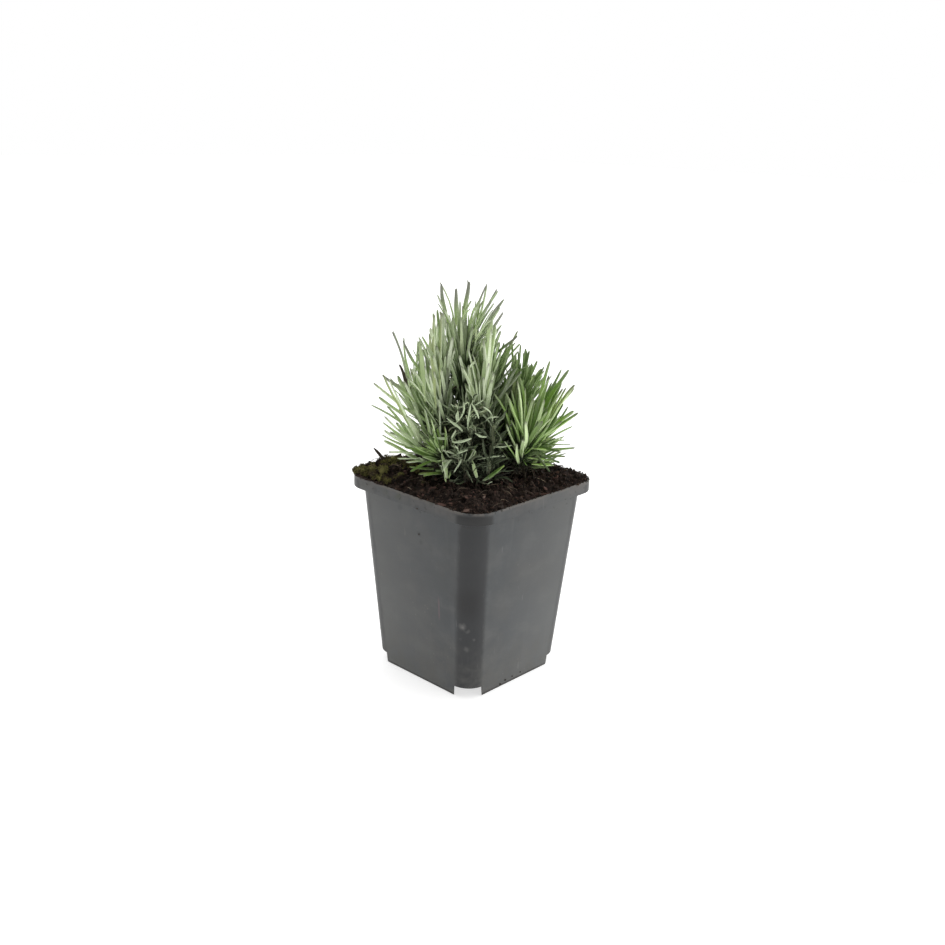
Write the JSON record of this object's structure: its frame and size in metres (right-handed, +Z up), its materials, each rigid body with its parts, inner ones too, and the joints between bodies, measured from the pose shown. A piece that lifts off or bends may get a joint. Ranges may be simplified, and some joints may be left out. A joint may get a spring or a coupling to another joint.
{
  "type": "potted lavender",
  "caption": "Young lavender with narrow grey-green leaves, growing in a square plastic nursery pot filled with peat.",
  "frame": {"origin": "centre of the pot's foot, on the surface that it stands on", "axes": "+Z up through the pot; X and Y along the sides of the pot; the plant's front faces the corner at +X -Y"},
  "size_m": [0.09, 0.09, 0.196],
  "materials": {
    "pot_plastic": "dark grey recycled polypropylene, satin, lightly scuffed",
    "peat": "moist coarse peat with bark chips and pale fibres, moss at one corner",
    "leaf_fresh": "young leaf, green under a thin grey down, matte",
    "leaf_grey": "full-grown leaf, silvery grey-green down, matte",
    "leaf_old": "old curled leaf, dull grey-green to tan, matte"
  },
  "bodies": {
    "root": {"pot": "pot_plastic", "potting_soil": "peat", "middle_tall_shoot": "leaf_grey", "middle_right_shoot": "leaf_fresh", "middle_front_shoot": "leaf_fresh", "left_tall_shoot": "leaf_grey", "left_back_shoot": "leaf_grey", "left_low_shoot": "leaf_grey", "left_front_shoot": "leaf_fresh", "right_fan_shoot": "leaf_fresh", "right_back_shoot": "leaf_fresh", "far_right_shoot": "leaf_fresh", "back_middle_shoot": "leaf_grey", "back_left_shoot": "leaf_grey", "back_right_shoot": "leaf_fresh", "old_twig_left": "leaf_old", "old_twig_middle": "leaf_old", "old_twig_right": "leaf_old", "old_twig_low_left": "leaf_old", "old_twig_low_right": "leaf_old"}
  },
  "joints": []
}
